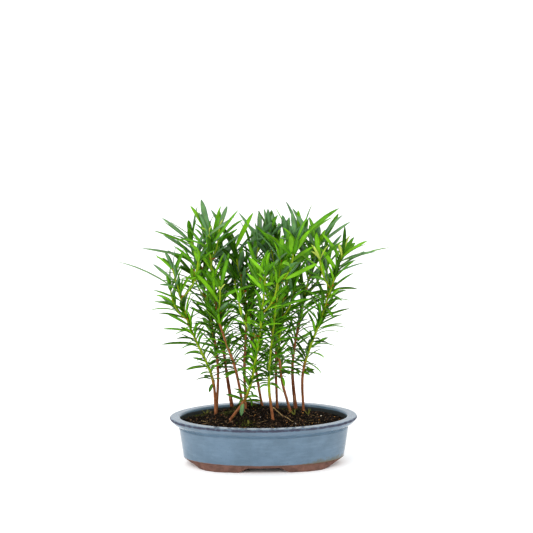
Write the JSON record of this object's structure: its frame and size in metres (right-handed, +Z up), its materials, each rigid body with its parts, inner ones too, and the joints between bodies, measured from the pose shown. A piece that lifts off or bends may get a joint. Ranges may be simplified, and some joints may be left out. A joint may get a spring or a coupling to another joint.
{
  "type": "potted podocarpus bonsai grove",
  "caption": "Bonsai grove of young podocarpus: slim brown stems with narrow upright green leaves rise from a soil mound in a shallow oval blue-glazed pot on a bare clay foot.",
  "frame": {"origin": "on the ground the pot stands on, under the middle of the box round pot and crown together; the pot's own middle is 7.6 mm to +X and 4.2 mm to +Y of it", "axes": "+Z up, +X along the pot to the right as seen from its front, +Y from the front to the back"},
  "size_m": [0.2738, 0.1906, 0.2911],
  "materials": {
    "glaze": "gloss",
    "bare_clay": "matte",
    "soil": "matte",
    "bark": "matte",
    "foliage": "satin"
  },
  "bodies": {
    "root": {"pot_bowl": "glaze", "pot_foot": "bare_clay", "soil": "soil", "stem_01": "bark", "stem_02": "bark", "stem_03": "bark", "stem_04": "bark", "stem_05": "bark", "stem_06": "bark", "stem_07": "bark", "stem_08": "bark", "stem_09": "bark", "stem_10": "bark", "stem_11": "bark", "stem_12": "bark", "foliage_01": "foliage", "foliage_02": "foliage", "foliage_03": "foliage", "foliage_04": "foliage", "foliage_05": "foliage", "foliage_06": "foliage", "foliage_07": "foliage", "foliage_08": "foliage", "foliage_09": "foliage", "foliage_10": "foliage", "foliage_11": "foliage", "foliage_12": "foliage"}
  },
  "joints": []
}
